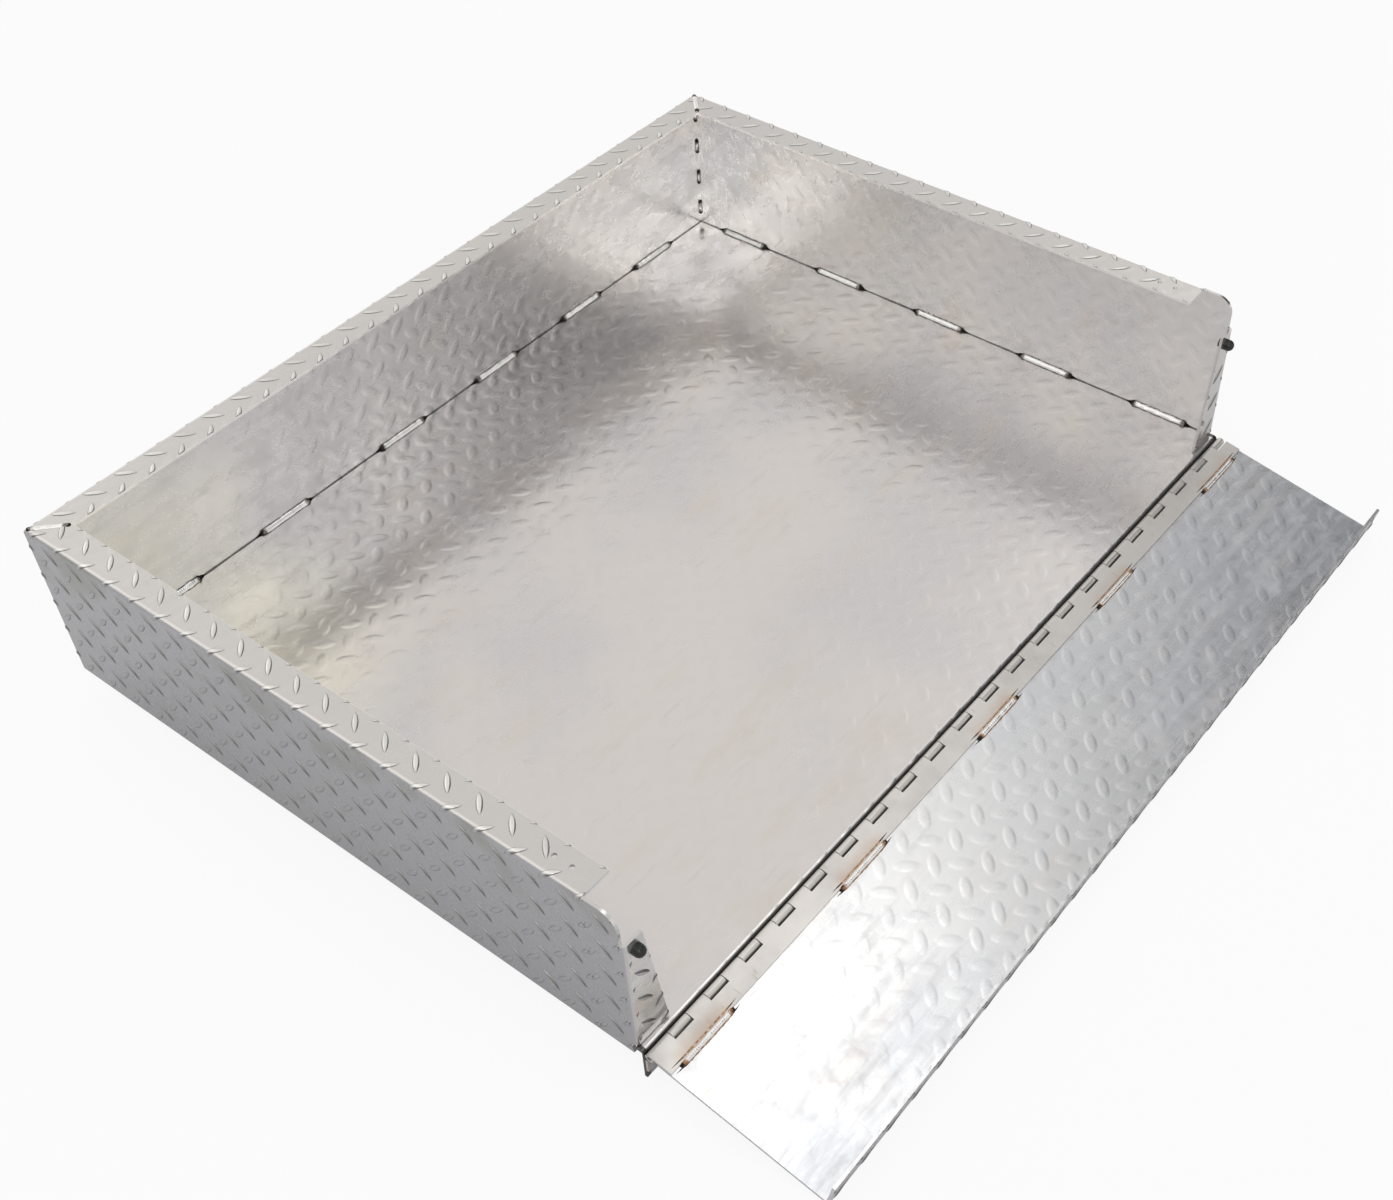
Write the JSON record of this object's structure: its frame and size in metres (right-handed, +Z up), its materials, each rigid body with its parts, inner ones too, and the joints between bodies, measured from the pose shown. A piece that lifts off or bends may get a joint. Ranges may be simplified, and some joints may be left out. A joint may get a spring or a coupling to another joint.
{
  "type": "tread plate tray with drop gate",
  "caption": "Shallow three-sided tray bent from tread plate, with lipped walls, a stitch-welded floor and a full-width drop gate on a continuous hinge.",
  "frame": {"origin": "on the ground, under the middle of the box around the tray and its open gate", "axes": "+X to the right as seen from the gate, along the hinge; +Y from the gate towards the headboard; +Z up"},
  "size_m": [1.066, 1.0192, 0.235],
  "materials": {
    "tread_plate": "mill-finish aluminium tread plate, lightly handled",
    "hinge_plate": "mill-finish aluminium, faint lengthwise grain",
    "pin_steel": "plain drawn steel rod",
    "rubber": "matt black moulded rubber",
    "weld_bead": "bright rippled weld bead with sooty ends"
  },
  "bodies": {
    "tray": {"floor_pan": "tread_plate", "headboard": "tread_plate", "side_wall_left": "tread_plate", "side_wall_right": "tread_plate", "runner_left": "tread_plate", "runner_right": "tread_plate", "bumper_left": "rubber", "bumper_right": "rubber", "hinge_leaf_tray": "hinge_plate", "hinge_pin": "pin_steel", "floor_welds_back": "weld_bead", "floor_welds_left": "weld_bead", "floor_welds_right": "weld_bead", "mitre_weld_left": "weld_bead", "mitre_weld_right": "weld_bead", "corner_tacks_left": "weld_bead", "corner_tacks_right": "weld_bead", "runner_welds_left": "weld_bead", "runner_welds_right": "weld_bead", "hinge_welds_tray": "weld_bead"},
    "gate": {"gate_panel": "tread_plate", "hinge_leaf_gate": "hinge_plate", "hinge_welds_gate": "weld_bead"}
  },
  "joints": [
    {"name": "gate_hinge", "type": "hinge", "parent": "tray", "child": "gate", "pos_m": [0, -0.30354, 0.0372], "axis": [-1, 0, 0], "range_deg": [-77.4, 100.56]}
  ]
}
